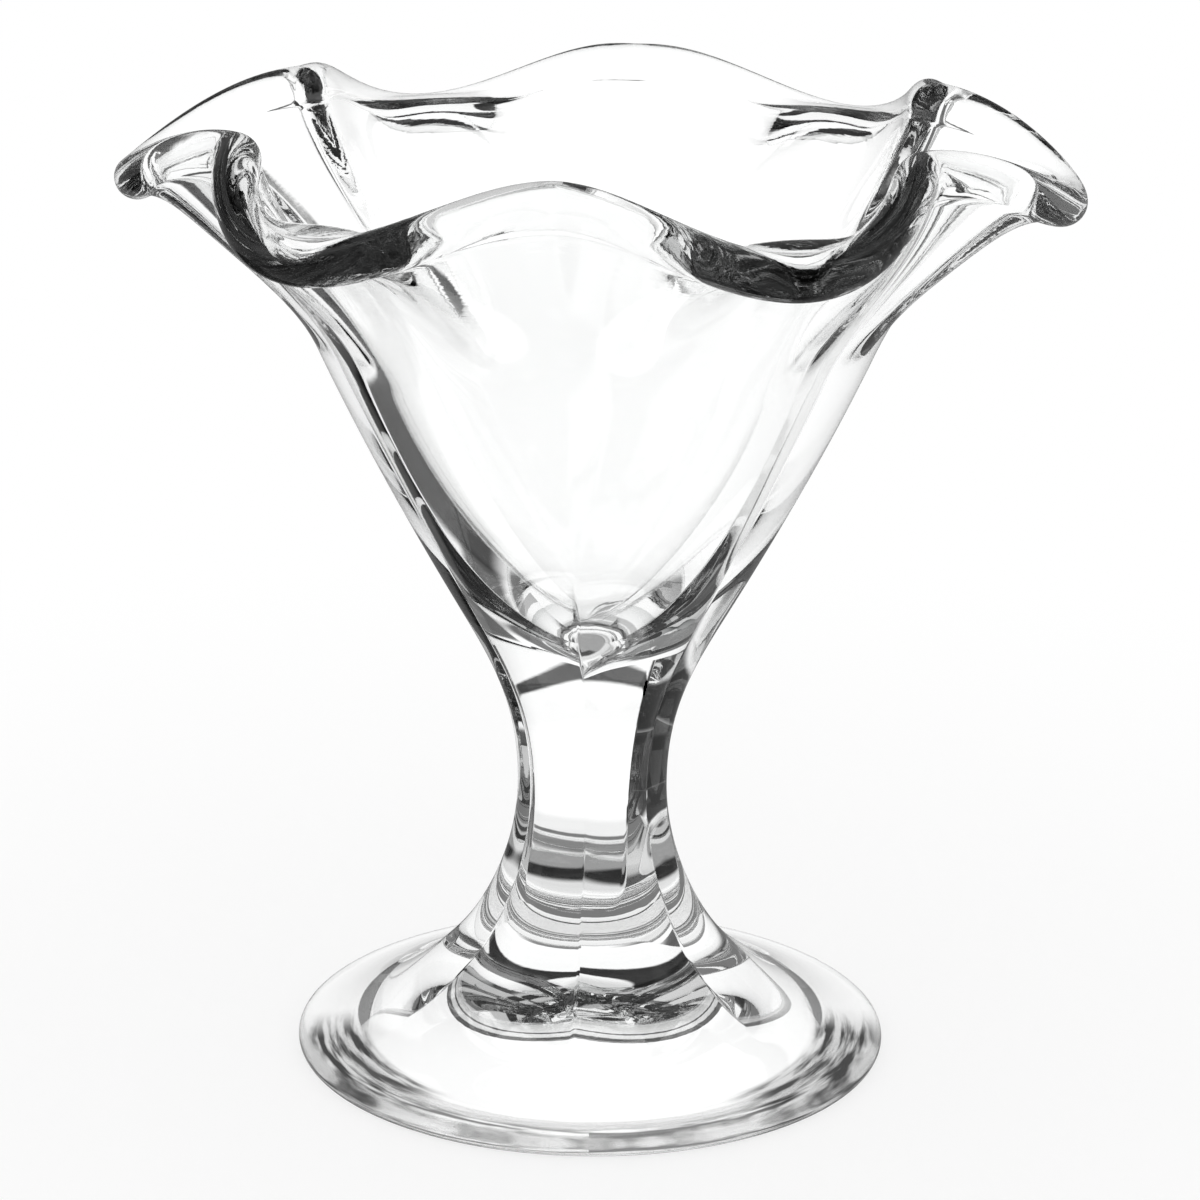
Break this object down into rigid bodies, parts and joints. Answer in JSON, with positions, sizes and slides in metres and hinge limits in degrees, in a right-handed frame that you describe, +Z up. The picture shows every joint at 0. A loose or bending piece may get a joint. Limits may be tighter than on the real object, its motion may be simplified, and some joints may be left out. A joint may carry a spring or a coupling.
{
  "type": "parfait glass",
  "caption": "Thick pressed-glass dessert dish with a lobed conical bowl, a ruffled fire-polished lip, a short waisted solid stem and a round foot with a domed hollow underneath",
  "frame": {"origin": "On the axis of the glass, at the plane that it rests on", "axes": "+Z up along the axis of the glass, +X through the ridge of a lobe, +Y through the groove between two lobes"},
  "size_m": [0.1248, 0.1136, 0.1279],
  "materials": {
    "glass": "clear, fire-polished, glossy"
  },
  "bodies": {
    "root": {"bowl": "glass", "stem": "glass", "foot": "glass"}
  },
  "joints": []
}
